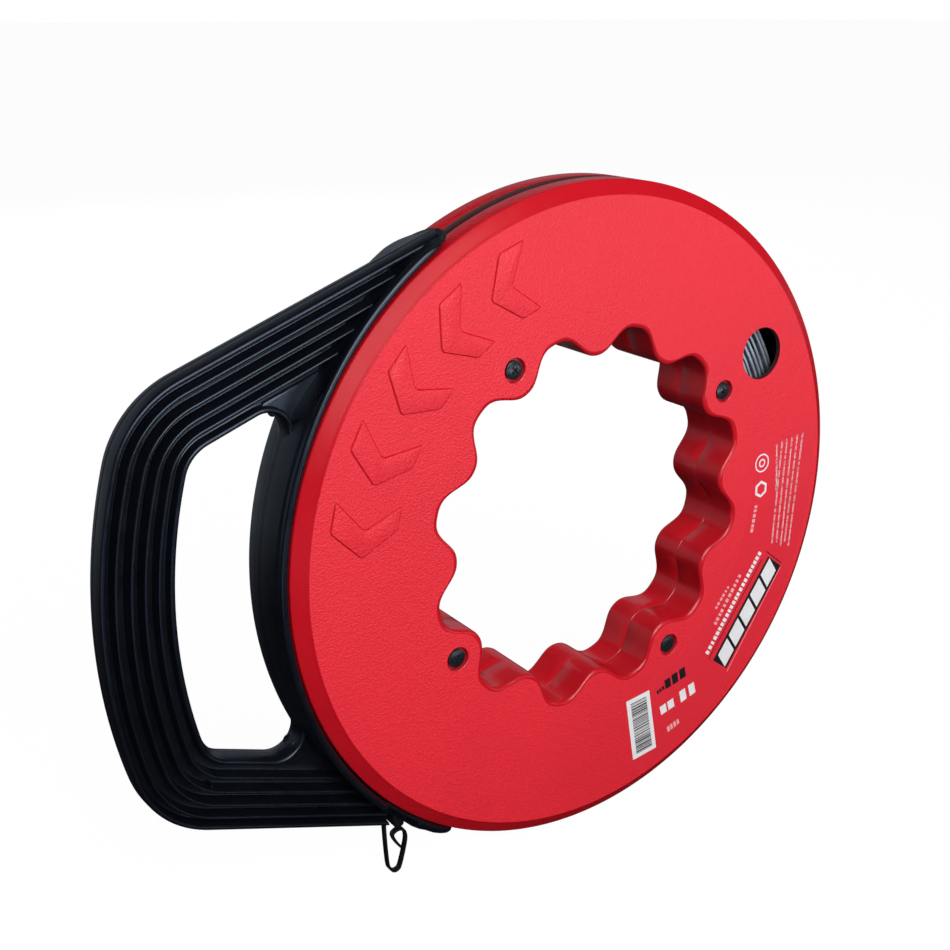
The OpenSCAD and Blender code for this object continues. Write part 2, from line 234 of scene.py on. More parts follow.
class Material:
    """A Principled material whose colour and normal are built up in steps."""

    def __init__(self, name, base, rough, spec=0.5, metal=0.0, coat=0.0):
        self.material = bpy.data.materials.new(name)
        self.material.use_nodes = True
        self.tree = self.material.node_tree
        self.shader = self.tree.nodes["Principled BSDF"]
        for key, value in {"Roughness": rough, "Specular IOR Level": spec, "Metallic": metal,
                           "Coat Weight": coat, "Coat Roughness": 0.12,
                           "Base Color": (*base, 1)}.items():
            self.shader.inputs[key].default_value = value
        self.place = self.new("ShaderNodeTexCoord").outputs["Object"]
        self.base = base
        self.colour = self.normal = None

    def new(self, kind, inputs=None, **settings):
        return add_node(self.tree, kind, inputs, **settings)

    def noise(self, scale, detail):
        return self.new("ShaderNodeTexNoise", {
            "Scale": scale, "Detail": detail, "Roughness": 0.5,
            "Vector": self.place}).outputs["Fac"]

    def vary(self, scale, low, high):
        """Base colour wandering between low and high times the base."""
        ramp = self.new("ShaderNodeValToRGB", {"Fac": self.noise(scale, detail=4.0)})
        for stop, position, gain in zip(ramp.color_ramp.elements, (0.3, 0.7), (low, high)):
            stop.position = position
            stop.color = (*(min(1, c * gain) for c in self.base), 1)
        self.colour = ramp.outputs["Color"]

    def rough_vary(self, scale, low, high):
        """Roughness wandering between low and high."""
        span = self.new("ShaderNodeMapRange", {
            "From Min": 0.3, "From Max": 0.7, "To Min": low, "To Max": high,
            "Value": self.noise(scale, detail=3.0)})
        self.tree.links.new(span.outputs["Result"], self.shader.inputs["Roughness"])

    def bump(self, height, strength, depth):
        """Relief from a height socket, depth in mm, on top of earlier relief."""
        node = self.new("ShaderNodeBump", {
            "Strength": strength, "Distance": depth * MM, "Height": height})
        if self.normal is not None:
            self.tree.links.new(self.normal, node.inputs["Normal"])
        self.normal = node.outputs["Normal"]

    def grain(self, scale, detail, strength, depth):
        self.bump(self.noise(scale, detail), strength, depth)

    def edge(self, colour, amount, low=0.52, high=0.62):
        """A painted highlight: lighter colour on convex edges; low and high bound the
        pointiness it fades in over.
        """
        pointiness = self.new("ShaderNodeNewGeometry").outputs["Pointiness"]
        painted_edge_highlight = self.new("ShaderNodeMapRange", {
            "From Min": low, "From Max": high, "To Max": amount, "Value": pointiness})
        patchy = math_node(self.tree, "MULTIPLY", painted_edge_highlight.outputs["Result"],
                           self.noise(scale=260, detail=4))
        self.colour = self.new("ShaderNodeMix", {
            "Factor": patchy, "A": self.colour, "B": (*colour, 1)},
            data_type="RGBA", blend_type="MIX").outputs["Result"]

    def done(self):
        self.tree.links.new(self.colour, self.shader.inputs["Base Color"])
        self.tree.links.new(self.normal, self.shader.inputs["Normal"])
        return self.material


# ---------------------------------------------------------------- materials
def red_pebbled():
    m = Material("red_pebbled", base=(0.76, 0.019, 0.035), rough=0.46)
    m.vary(scale=9, low=0.95, high=1.05)
    cells = m.new("ShaderNodeTexVoronoi", {"Scale": 1080, "Vector": m.place})
    m.bump(cells.outputs["Distance"], strength=0.85, depth=0.25)
    m.grain(scale=1900, detail=2, strength=0.4, depth=0.1)
    m.rough_vary(scale=700, low=0.42, high=0.54)
    return m.done()


def red_smooth():
    # Its base is darker than the pebbled face's, though it is the same plastic: painted shade
    # on the shoulder, rim and other smooth faces.
    m = Material("red_smooth", base=(0.5, 0.007, 0.015), rough=0.28, spec=0.12)
    m.vary(scale=25, low=0.94, high=1.06)
    m.grain(scale=240, detail=3, strength=0.06, depth=0.05)
    m.rough_vary(scale=60, low=0.20, high=0.32)
    # Pale pink painted highlight on convex edges.
    m.edge(colour=(0.85, 0.16, 0.2), amount=0.3)
    return m.done()


def red_recess():
    m = Material("red_recess", base=(0.5, 0.012, 0.022), rough=0.4)
    m.vary(scale=60, low=0.9, high=1.08)
    m.grain(scale=900, detail=3, strength=0.12, depth=0.05)
    return m.done()


# Near-black red for faces inside the case, which are the same red plastic: painted shade.
def red_inside_painted_shade():
    m = Material("red_inside_painted_shade", base=(0.035, 0.003, 0.004), rough=0.6)
    m.vary(scale=80, low=0.8, high=1.2)
    m.grain(scale=700, detail=3, strength=0.1, depth=0.05)
    return m.done()


def red_hub():
    m = Material("red_hub", base=(0.52, 0.008, 0.016), rough=0.2, spec=0.45)
    m.vary(scale=25, low=0.94, high=1.06)
    m.grain(scale=200, detail=3, strength=0.05, depth=0.05)
    m.rough_vary(scale=60, low=0.15, high=0.24)
    # Pale pink painted highlight on convex edges.
    m.edge(colour=(0.85, 0.16, 0.2), amount=0.3)
    return m.done()


def handle_satin():
    m = Material("handle_satin", base=(0.0036, 0.004, 0.0068), rough=0.3, spec=0.55)
    m.shader.inputs["Specular Tint"].default_value = (0.66, 0.8, 1.0, 1)
    m.vary(scale=30, low=0.85, high=1.25)
    m.grain(scale=420, detail=4, strength=0.10, depth=0.04)
    m.grain(scale=2600, detail=2, strength=0.08, depth=0.02)
    m.rough_vary(scale=120, low=0.24, high=0.36)
    # Blue-grey painted highlight on the ribs' crests and other convex edges.
    m.edge(colour=(0.009, 0.011, 0.016), amount=0.3)
    return m.done()


def guide_black():
    m = Material("guide_black", base=(0.006, 0.0062, 0.008), rough=0.42)
    m.vary(scale=80, low=0.8, high=1.3)
    m.grain(scale=1200, detail=3, strength=0.12, depth=0.04)
    m.rough_vary(scale=200, low=0.36, high=0.5)
    return m.done()


def screw_black():
    m = Material("screw_black_oxide", base=(0.014, 0.016, 0.021), rough=0.2, spec=0.8,
                 metal=0.3)
    m.vary(scale=500, low=0.7, high=1.4)
    m.grain(scale=1800, detail=3, strength=0.15, depth=0.03)
    m.rough_vary(scale=900, low=0.22, high=0.38)
    # Grey painted glint on the head's convex edges.
    m.edge(colour=(0.16, 0.16, 0.17), amount=0.7, low=0.53, high=0.66)
    return m.done()


def tape_steel(name, base, metal=0.9, low=0.24, high=0.42):
    """Tape steel; low and high bound its roughness."""
    m = Material(name, base=base, rough=0.32, metal=metal)
    m.vary(scale=140, low=0.75, high=1.3)
    m.grain(scale=2200, detail=3, strength=0.18, depth=0.02)
    m.rough_vary(scale=420, low=low, high=high)
    # Paler painted highlight on the tape's convex edges.
    m.edge(colour=tuple(min(1, c * 2.2) for c in base), amount=0.5)
    return m.done()


def label_vinyl():
    m = Material("label_vinyl", base=(0.745, 0.026, 0.045), rough=0.3, spec=0.45, coat=0.25)
    m.vary(scale=14, low=0.96, high=1.04)
    m.grain(scale=95, detail=3, strength=0.08, depth=0.05)
    m.grain(scale=1300, detail=2, strength=0.06, depth=0.02)
    m.rough_vary(scale=45, low=0.26, high=0.36)
    return m.done()


def ink(name, base):
    m = Material(name, base=base, rough=0.35, spec=0.4)
    m.vary(scale=600, low=0.93, high=1.0)
    m.grain(scale=1700, detail=2, strength=0.08, depth=0.02)
    m.rough_vary(scale=300, low=0.35 - 0.05, high=0.35 + 0.06)
    return m.done()


def zinc_plate():
    m = Material("zinc_plate", base=(0.5, 0.5, 0.52), rough=0.35, metal=1.0)
    m.vary(scale=300, low=0.85, high=1.1)
    m.grain(scale=1500, detail=3, strength=0.1, depth=0.02)
    return m.done()


CASE_REDS = [red_pebbled(), red_smooth(), red_recess(), red_inside_painted_shade(), red_hub()]
PEBBLED, SMOOTH, RECESS, INSIDE, HUB = range(5)     # slots of CASE_REDS
HANDLE_BLACK, GUIDE_BLACK, SCREW_BLACK = handle_satin(), guide_black(), screw_black()
# Pale blue-grey steel, far lighter than the dark tape end: painted highlight on the wound
# turns.
COIL_STEEL_PAINTED_HIGHLIGHT = tape_steel("tape_painted_highlight", base=(0.3, 0.335, 0.4), metal=0.4)
SHADED_STEEL = tape_steel("tape_shaded", base=(0.035, 0.038, 0.046))
LEAD_STEEL = tape_steel("tape_dark", base=(0.05, 0.054, 0.064), low=0.25, high=0.4)
LABEL_RED = label_vinyl()
INK_WHITE = ink("ink_white", base=(0.84, 0.84, 0.85))
INK_DARK = ink("ink_black", base=(0.012, 0.012, 0.014))
INK_PALE = ink("ink_pale", base=(0.86, 0.42, 0.44))
ZINC = zinc_plate()

# ---------------------------------------------------------------- case shells
# (radius, y) from the rim at the middle plane out to the flat face
RIM_PROFILE = [
    (152.0, 3.0), (154.55, 3.0), (154.85, 3.12), (CASE_R, 3.45), (CASE_R, 8.0), (CASE_R, 12.5),
    (154.93, 12.95), (154.75, 13.22), (154.45, 13.42), (152.0, 14.92), (149.65, 16.28),
    (149.3, 16.5), (149.05, 16.74), (148.8, 16.93), (148.45, HALF_DEPTH),
    (147.7, HALF_DEPTH), (120.0, HALF_DEPTH), (94.0, HALF_DEPTH)]
# (radius beyond the lobed hub edge, y) from the flat face down the hub wall and back up
HUB_PROFILE = [
    (2.3, HALF_DEPTH), (1.7, 16.98), (1.05, 16.85), (0.5, 16.52), (0.16, 16.02), (0.02, 15.4),
    (0, 14.6), (-0.02, 8.0), (0, 0.25), (0.22, 0.02), (0.6, 0.0), (2.6, 0.0), (2.6, 14.3)]
# (radius, y) along the inside, back to the rim
INSIDE_PROFILE = [(94.2, 14.4), (149.0, 14.4), (151.4, 13.0), (152.0, 12.2)]


def hub_radius(degrees):
    """The hub opening has twelve lobes."""
    p = (degrees - CASE_TURN) * DEG
    return (83.679 - 6.443 * math.cos(12 * p) - 0.33 * math.cos(24 * p)
            + 0.431 * math.cos(36 * p))


def shell_slot(centre, _normal):
    r, depth = math.hypot(centre.x, centre.z), abs(centre.y)
    if depth > 16.9 and 92 < r < 148.6 or (depth > 16.99 and r < 148.6):
        return PEBBLED
    # The rim's gap and the shell's inner faces take the near-black red: painted shade.
    if r < 154.7 and depth < 3.1 and r > 151:
        return INSIDE
    if r < 152.4 and depth < 14.6:
        hub = hub_radius(math.degrees(math.atan2(centre.z, centre.x)))
        if r > 96 or abs(r - hub) > 1.6:
            return INSIDE
    return HUB if r < 96 else SMOOTH


def shell(piece, side):
    rings = []
    count = 12 * 44
    for i in range(count):
        degrees = 360.0 * i / count
        hub = hub_radius(degrees)
        profile = RIM_PROFILE + [(hub + out, y) for out, y in HUB_PROFILE] + INSIDE_PROFILE
        rings.append(section_at(profile, degrees, side))
    soup = Soup()
    soup.sweep(rings, closed_path=True)
    return make(piece + "_skin", soup, CASE_REDS, "case", 38, shell_slot)


def flatten_face(ob):
    """The big flat face keeps its own normal."""
    for p in ob.data.polygons:
        if abs(p.normal.y) > 0.99995 and abs(abs(p.center.y) / MM - HALF_DEPTH) < 0.02:
            p.use_smooth = False


screws = [polar(SCREW_CIRCLE, CASE_TURN + 90 * i) for i in range(4)]
window = polar(WINDOW_CIRCLE, CASE_TURN - 90)

# Cutters, (radius, y): a blind screw recess and a window through the wall
SCREW_RECESS = [(0, -19), (6.2, -19), (6.2, -17.3), (5.75, -17.02), (5.42, -16.8),
                (5.3, -16.4), (5.2, -14.7), (0, -14.7)]
WINDOW_CUT = [(0, -19), (13.15, -19), (13.15, -17.2), (13.1, -17.0), (13.0, -16.9),
              (12.93, -16.75), (12.9, -13.8), (0, -13.8)]


def front_shell():
    """The printed shell, with its screw recesses and window."""
    ob = shell("front_shell", FRONT)
    cuts = [cutter("rc%d" % i, Soup().lathe(SCREW_RECESS, 64, centre))
            for i, centre in enumerate(screws)]
    cuts.append(cutter("wc", Soup().lathe(WINDOW_CUT, 112, window)))
    subtract(ob, cuts)
    shade_smooth(ob.data, 38)
    for p in ob.data.polygons:
        c = p.center / MM
        for screw in screws:
            if math.hypot(c.x - screw[0], c.z - screw[1]) < 5.85 and c.y > -16.98:
                p.material_index = RECESS
        # The window's wall, past its lip, takes the near-black red: painted shade.
        if math.hypot(c.x - window[0], c.z - window[1]) < 13.4 and -16.98 < c.y < -13.7:
            p.material_index = INSIDE if c.y > -16.7 else SMOOTH
    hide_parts("front_shell")
    flatten_face(ob)


def rear_shell():
    ob = shell("rear_shell", REAR)
    flatten_face(ob)
    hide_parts("rear_shell")


front_shell()
rear_shell()


def inset_outline(points, distance):
    """Moves a clockwise outline inwards."""
    out = []
    for j, point in enumerate(points):
        along = unit(points[(j + 1) % len(points)] - points[j - 1])
        out.append(point + np.array([along[1], -along[0]]) * distance)
    return out


def winding_marks():
    """Five raised chevrons with softened rims show the winding direction."""
    first, pitch, width, rise = 108, 14, 5.6, 8.5 * 0.62     # degrees
    inner, outer = 109, 141
    middle = (inner + outer) / 2
    levels = ((0, -16.5), (0, -17.0), (0.14, -17.3), (0.34, -17.5), (0.58, -17.58))  # inset, y
    soup = Soup()
    for i in range(5):
        a = first + pitch * i
        corners = [polar(r, t) for r, t in (
            (inner, a), (inner, a + width), (middle, a + width + rise),
            (outer, a + width), (outer, a), (middle, a + rise))]
        outline = []
        for j in range(6):
            here, ahead = corners[j], corners[(j + 1) % 6]
            outline += [here + (ahead - here) * t for t in np.linspace(0.06, 0.94, 7)]
        soup.sweep([[(p[0], y, p[1]) for p in inset_outline(outline, d)] for d, y in levels])
    make("front_shell_marks", soup, CASE_REDS[:2], "case", 50,
         lambda c, n: PEBBLED if abs(n.y) > 0.97 else SMOOTH)


winding_marks()


# ---------------------------------------------------------------- screws
def case_screw(index, centre):
    """A dished head with a tapered cross recess."""
    head_r, dish_y, dish_rise = 4.15, -HALF_DEPTH + 0.12, 0.62
    profile = [(0, dish_y)]
    for k in range(1, 8):
        r = head_r * k / 7
        profile.append((r, dish_y + dish_rise * (r / head_r) ** 2.4))
    profile += [(4.22, -15.95), (4.2, -15.0), (4.1, -14.65), (0, -14.65)]
    ob = make("case_screw_%d" % (index + 1), Soup().lathe(profile, 72, centre),
              [SCREW_BLACK], "case", 40)
    cuts = []
    for turn in (0, 90):
        along = direction((45 + turn + 20 * index) * DEG)
        across = np.array([-along[1], along[0]])
        ends = []
        # half length, half width, y at the mouth and at the bottom of a slot
        for long, wide, y in ((2.25, 0.62, -17.4), (1.2, 0.34, -15.3)):
            ring = []
            for u, v in ((-long, -wide), (long, -wide), (long, wide), (-long, wide)):
                ring.append((centre[0] + u * along[0] + v * across[0], y,
                             centre[1] + u * along[1] + v * across[1]))
            ends.append(ring)
        slot = Soup()
        slot.loft(*ends)
        cuts.append(cutter("cr%d" % turn, slot))
    subtract(ob, cuts)
    shade_smooth(ob.data, 35)
    return ob


for i, centre in enumerate(screws):
    screw = case_screw(i, centre)
    if i == 0:
        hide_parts("case_screws")


# ---------------------------------------------------------------- label and its print
def sector(inner, outer, a0, a1, corner):
    """Outline of an annular sector with rounded corners; angles in degrees."""
    out = math.asin(corner / (outer - corner)) / DEG      # angle a corner takes up outside
    inn = math.asin(corner / (inner + corner)) / DEG      # and inside
    origin = np.array([0, 0])
    points = []
    # centre, radius, first and last angle, steps
    for centre, radius, start, end, count in (
            (origin, outer, a0 + out, a1 - out, 72),
            (polar(outer - corner, a1 - out), corner, a1 - out, a1 + 90, 8),
            (polar(inner + corner, a1 - inn), corner, a1 + 90, a1 - inn + 180, 8),
            (origin, inner, a1 - inn, a0 + inn, 60),
            (polar(inner + corner, a0 + inn), corner, a0 + inn + 180, a0 + 270, 8),
            (polar(outer - corner, a0 + out), corner, a0 + 270, a0 + out + 360, 8)):
        points += [centre + polar(radius, between(start, end, j, count))
                   for j in range(count + 1)]
    return points


def face_label():
    soup = Soup()
    soup.prism(sector(inner=102.0, outer=144.6, a0=-79.8, a1=8.8, corner=5.0), -17.08, -16.9)
    ob = make("face_label_skin", soup, [LABEL_RED], "case", 30)
    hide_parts("face_label")


face_label()

INK_BACK = -17.05                  # y of the print's hidden side
INK_FRONT = INK_BACK - 0.07
OVERPRINT = 0.04                   # print on print stands this much further forward
white, dark, pale = Soup(), Soup(), Soup()


def bar(soup, start, end, width, lift=0.0, skew=0.0):
    start, end = np.array(start, float), np.array(end, float)
    along = unit(end - start)
    side = np.array([-along[1], along[0]]) * width / 2
    slant = along * skew
    soup.prism([start - side - slant, end - side - slant,
                end + side + slant, start + side + slant], INK_FRONT - lift, INK_BACK)


def dashes(soup, start, end, width, shortest, longest, gap):
    """A row of strokes of random length."""
    start, end = np.array(start, float), np.array(end, float)
    total = np.linalg.norm(end - start)
    along = unit(end - start)
    x = 0.0
    while x < total - shortest:
        length = min(random.uniform(shortest, longest), total - x)
        bar(soup, start + along * x, start + along * (x + length), width)
        x += length + gap * random.uniform(0.8, 1.5)


def ring(soup, centre, radius, width, sides=40, turn=0.0):
    soup.lathe([(radius, INK_BACK), (radius, INK_FRONT), (radius - width, INK_FRONT),
                (radius - width, INK_BACK)], sides, centre, turn)


def print_stroke_rows():
    """Six rows of short strokes, pale with a white core, and a short row beside them."""
    for (x0, z0), (x1, z1) in (
            ((136.3, 15.6), (130.6, -45.5)), ((132.3, 15.3), (127.6, -42.5)),
            ((128.5, 14.8), (124.6, -44.0)), ((124.7, 14.5), (121.2, -41.8)),
            ((121.2, 14.2), (117.9, -41.0)), ((117.2, 13.2), (119.0, -12.5))):
        dashes(pale, (x0, z0), (x1, z1), width=1.15, shortest=1.6, longest=5.2, gap=0.9)
        dashes(white, (x0 + 0.02, z0), (x1 + 0.02, z1),
               width=0.45, shortest=0.5, longest=1.6, gap=0.9)
    dashes(pale, (104.6, -17.2), (102.2, -31.4), width=1.9, shortest=1.3, longest=2.2, gap=0.7)


def print_rings():
    ring(white, (107.2, 5.0), radius=4.9, width=0.75)
    ring(white, (107.2, 5.0), radius=2.2, width=0.75)
    ring(white, (107.4, -9.0), radius=4.6, width=1.5, sides=6, turn=30)


def print_long_plate():
    """A dark plate with five slanted white fields, and lines and strokes along it."""
    start, end = np.array([120.0, -52.5]), np.array([84.5, -99.0])
    along, length = unit(end - start), np.linalg.norm(end - start)
    bar(dark, start - along * 1.0, end + along * 1.0, width=12.4)
    for k in range(5):
        near = length * k / 5 + 0.9
        far = length * (k + 1) / 5 - 0.9
        bar(white, start + along * near, start + along * far, width=9.2, lift=OVERPRINT,
            skew=1.6)
    bar(dark, (114.0, -44.6), (126.0, -54.2), width=0.55)
    bar(dark, (111.2, -48.3), (75.6, -94.6), width=0.45)
    bar(pale, (125.6, -56.0), (89.6, -105.5), width=0.28)
    dashes(white, (109.6, -44.0), (73.6, -91.8), width=2.6, shortest=1.5, longest=2.0, gap=0.75)
    dashes(pale, (95.6, -53.0), (78.3, -77.0), width=2.2, shortest=1.3, longest=2.1, gap=0.9)
    dashes(pale, (87.6, -57.3), (78.4, -68.0), width=1.6, shortest=1.0, longest=1.7, gap=0.8)


def print_blocks():
    """Three dark blocks and a row of strokes, over four white blocks and another row."""
    for x, z, width in ((57.6, -96.6, 4.2), (52.6, -97.9, 4.2), (47.8, -99.1, 3.6)):
        bar(dark, (x + 1.9, z + 0.4), (x - 1.9, z - 0.4), width + 1.6)
    dashes(dark, (45.4, -100.6), (39.4, -102.6), width=2.3, shortest=1.1, longest=1.5, gap=0.45)
    for x, z, width in ((64.6, -107.7, 6.6), (58.6, -109.3, 6.6),
                        (50.4, -111.6, 5.0), (45.4, -112.8, 5.0)):
        bar(white, (x + 1.95, z + 0.5), (x - 1.95, z - 0.5), width)
    dashes(pale, (56.4, -123.0), (48.0, -125.6), width=3.2, shortest=1.4, longest=1.9, gap=0.5)


def print_barred_plate():
    """A white plate with fine dark bars of random width."""
    corners = [np.array(p) for p in ((20.4, -100.6), (35.3, -98.9), (41.4, -132.8),
                                     (26.1, -134.6))]
    top_left, top_right, low_right, low_left = corners
    height = 34.5
    white.prism(corners, INK_FRONT, INK_BACK)
    down = 0.075                   # share of the way down the plate
    while down < 0.93:
        thick = random.choice((0.008, 0.008, 0.014, 0.02, 0.026))
        left = top_left + (low_left - top_left) * (down + thick / 2)
        right = top_right + (low_right - top_right) * (down + thick / 2)
        bar(dark, left + (right - left) * 0.17, left + (right - left) * 0.84,
            thick * height, OVERPRINT)
        down += thick + random.choice((0.009, 0.012, 0.018))


print_stroke_rows()
print_rings()
print_long_plate()
print_blocks()
print_barred_plate()
make("label_print_white", white, [INK_WHITE], "case")
make("label_print_dark", dark, [INK_DARK], "case")
make("label_print_pale", pale, [INK_PALE], "case")

# ---------------------------------------------------------------- wound tape
TURN_T, TURN_H = 1.45, 3.1         # radial thickness and depth along Y of one turn
TURN_SECTION = [
    (0, 0.25), (0.25, 0), (TURN_T - 0.25, 0), (TURN_T, 0.25), (TURN_T, TURN_H - 0.25),
    (TURN_T - 0.25, TURN_H), (0.25, TURN_H), (0, TURN_H - 0.25)]


def tape_turn(soup, radius, y, phase, wander):
    """One closed turn that wanders a little from a true circle."""
    rings = []
    for k in range(240):
        a = 1.5 * k
        r = (radius + wander * math.sin(a * DEG * 2 + phase)
             + 0.4 * wander * math.sin(a * DEG * 5 + 1.7 * phase))
        y_here = y + 0.5 * wander * math.sin(a * DEG * 3 + phase)
        rings.append(section_at([(r + u, y_here + v) for u, v in TURN_SECTION], a))
    soup.sweep(rings, closed_path=True)


def tape_coil():
    """Four layers of turns side by side: front and rear, then the two between."""
    soup, sin = Soup(), math.sin
    for i in range(12):
        tape_turn(soup, radius=99.4 + 2.75 * i + 0.35 * sin(5.1 * i),
                  y=-8.2 + 0.5 * sin(2.3 * i), phase=1.1 * i, wander=0.3)
        tape_turn(soup, radius=99.9 + 2.75 * i,
                  y=4.6 + 0.3 * sin(1.7 * i), phase=0.9 * i + 1, wander=0.2)
    for i in range(14):
        tape_turn(soup, radius=99.2 + 2.4 * i,
                  y=-3.2 + 0.4 * sin(1.9 * i), phase=1.3 * i + 2, wander=0.15)
        tape_turn(soup, radius=99.0 + 2.42 * i,
                  y=0.9 + 0.3 * sin(2.9 * i), phase=1.9 * i + 1, wander=0.12)
    # Front and rear layers take the pale steel with its painted highlight; the two middle
    # layers take the dark steel, painted shade.
    ob = make("tape_coil_turns", soup, [COIL_STEEL_PAINTED_HIGHLIGHT, SHADED_STEEL], "case", 40,
              lambda c, n: 0 if abs(c.y) > 6.3 else 1)
    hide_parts("tape_coil")


tape_coil()
for piece, mat in (("tape_anchor_strap", COIL_STEEL_PAINTED_HIGHLIGHT), ("anchor_screw", ZINC)):
    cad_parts[piece].data.materials.clear()
    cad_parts[piece].data.materials.append(mat)

# ---------------------------------------------------------------- handle outline
ARM_OUT = direction(ARM_ANGLE * DEG)                     # upper arm's outward normal
ARM_ALONG = direction(ARM_ANGLE * DEG + math.pi / 2)     # along it, towards the grip
GRIP_C = np.array([GRIP_R - GRIP_X, 0.0])                # centre of the grip's bow

# The corner's centre lies CORNER_R in from the arm's edge and from the grip's
_from_grip = (ARM_H - CORNER_R) * ARM_OUT - GRIP_C
_along = _from_grip @ ARM_ALONG
CORNER_S = -_along + math.sqrt(
    _along ** 2 - (_from_grip @ _from_grip - (GRIP_R - CORNER_R) ** 2))
CORNER_C = (ARM_H - CORNER_R) * ARM_OUT + CORNER_S * ARM_ALONG
CORNER_END_A = math.atan2(CORNER_C[1], CORNER_C[0] - GRIP_C[0])    # corner meets grip

# The straight tape end leaves down the lower left of the case
LEAD_N = polar(1, 194.65)                                # away from the case
LEAD_D = np.array([0.2529, -0.9675])                     # along the tape
LEAD_START = 135.0 * LEAD_N


def lead(along, off=0.0):
    """A point along the tape end and off it, away from the case."""
    return LEAD_START + along * LEAD_D + off * LEAD_N


def corner_point(inset, k, count):
    a = between(ARM_ANGLE * DEG, CORNER_END_A, k, count)
    return CORNER_C + (CORNER_R - inset) * direction(a)


def grip_point(inset, k, count):
    return GRIP_C + (GRIP_R - inset) * direction(between(CORNER_END_A, math.pi, k, count))


def reach(distance, radius):
    """How far along an arm a line at a distance from the middle meets a circle."""
    return math.sqrt(radius * radius - distance * distance)


def arm_path(inset):
    """The line inside the outline, from the upper arm's end round to the lower's.

    It is drawn about the handle's own middle. Below, it stops at the tape's channel.
    """
    height = ARM_H - inset
    start = reach(height, ARM_END_R)
    corner = [corner_point(inset, k, 20) for k in range(20)]
    grip = [grip_point(inset, k, 14) for k in range(15)]
    upper = [height * ARM_OUT + between(start, CORNER_S, k, 8) * ARM_ALONG for k in range(8)]
    low_out, low_along = mirrored(ARM_OUT), mirrored(ARM_ALONG)
    channel = lead(0, 1.3) - np.array([0.0, LIFT])
    stop = (channel @ LEAD_N - height * (low_out @ LEAD_N)) / (low_along @ LEAD_N)
    low_start = max(start, stop)
    lower = [height * low_out + between(low_start, CORNER_S, k, 8) * low_along
             for k in range(7, -1, -1)]
    back = [mirrored(p) for p in (corner + grip[:-1])[::-1]]
    return upper + corner + grip + back + lower


def opening(outset):
    """Edge of the hand opening moved outwards by outset, a closed loop."""
    inset, case_r, fillet = 30.9 - outset, 162.4 - outset, 8.6 + outset
    height, fillet_circle = ARM_H - inset - fillet, case_r + fillet
    centre = height * ARM_OUT + reach(height, fillet_circle) * ARM_ALONG
    a0, arm_a = math.atan2(centre[1], centre[0]), ARM_ANGLE * DEG
    half = [case_r * direction(between(math.pi, a0, k, 12)) for k in range(13)]
    half += [centre + fillet * direction(between(a0 - math.pi, arm_a, k, 16))
             for k in range(1, 17)]
    fillet_end, corner_start = half[-1], corner_point(inset, 0, 16)
    half += [between(fillet_end, corner_start, k, 8) for k in range(1, 8)]
    half += [corner_point(inset, k, 16) for k in range(17)]
    half += [grip_point(inset, k, 14) for k in range(1, 15)]
    return half + [mirrored(p) for p in half[-2:0:-1]]


# ---------------------------------------------------------------- handle halves
# Outer wall, (inset from the outline, y)
OUTER_WALL = {
    FRONT: [(0.3, 0.0), (0.06, 0.2), (0.0, 0.5), (0.12, 3.0), (0.3, 5.6), (0.42, 6.3),
            (0.68, 6.85), (1.1, 7.15), (1.6, 7.2), (2.05, 7.02), (2.32, 6.6), (2.45, 6.0)],
    REAR: [(0.3, 0.0), (0.06, 0.2), (0.0, 0.5), (0.12, 2.0), (0.34, 3.6), (0.55, 4.3),
           (0.9, 4.85), (1.3, 5.1), (1.75, 5.1), (2.12, 4.85), (2.35, 4.4), (2.48, 3.9)]}
WALL_FOOT = [(2.75, 2.3), (2.95, 1.75), (3.45, 1.5)]
RIBS = ((6.2, 8.1), (11.9, 9.0), (17.35, 8.6), (23.05, 7.8))       # inset, height
ARM_INNER_EDGE = [(26.6, 1.5), (28.6, 1.5), (28.6, 0.0)]
# Wall round the hand opening, (outset from its edge, y)
OPENING_WALL = [
    (0.3, 0.0), (0.05, 0.12), (0.0, 0.4), (0.55, 3.0), (1.0, 5.0), (1.25, 5.55), (1.7, 5.9),
    (2.25, 6.0), (2.75, 5.85), (3.1, 5.45), (3.25, 4.9), (3.5, 2.2), (3.7, 1.65),
    (4.2, 1.45), (4.4, 0.0)]

# Saddle along the case, (radius, y)
SADDLE_BEAD = [(158.65 - 1.65 * math.cos(b * DEG), 15.15 + 1.65 * math.sin(b * DEG))
               for b in range(0, 181, 20)]
SADDLE_FOOT = [(162.22, 0.45), (162.15, 0.15), (161.95, 0.0)]
SADDLE = {
    FRONT: [(156.3, 0.0), (156.3, 11.8), (156.6, 12.4)] + SADDLE_BEAD
           + [(160.32, 13.9), (160.42, 13.45), (160.72, 13.1), (160.92, 12.7),
              (161.05, 12.2), (161.6, 7.0)] + SADDLE_FOOT,
    REAR: [(156.3, 0.0), (156.3, 13.6), (156.5, 14.2), (157.05, 14.5), (157.8, 14.6),
           (158.6, 14.55), (159.3, 14.1), (160.0, 13.2), (160.5, 12.2), (160.85, 10.9),
           (161.6, 6.0)] + SADDLE_FOOT}
LOWER_SADDLE = [
    (156.3, 0.0), (156.3, 13.8), (156.5, 14.5), (157.05, 14.9), (157.8, 15.0),
    (158.6, 14.95), (159.3, 14.5), (160.0, 13.7), (160.5, 12.8), (160.9, 12.0),
    (161.6, 6.5)] + SADDLE_FOOT
# Tip rounding radius and half depth; the lower band's are the same on both sides
TIP = {FRONT: (14.5, 16.8), REAR: (15.5, 14.6)}
LOWER_TIP = (13.0, 15.0)
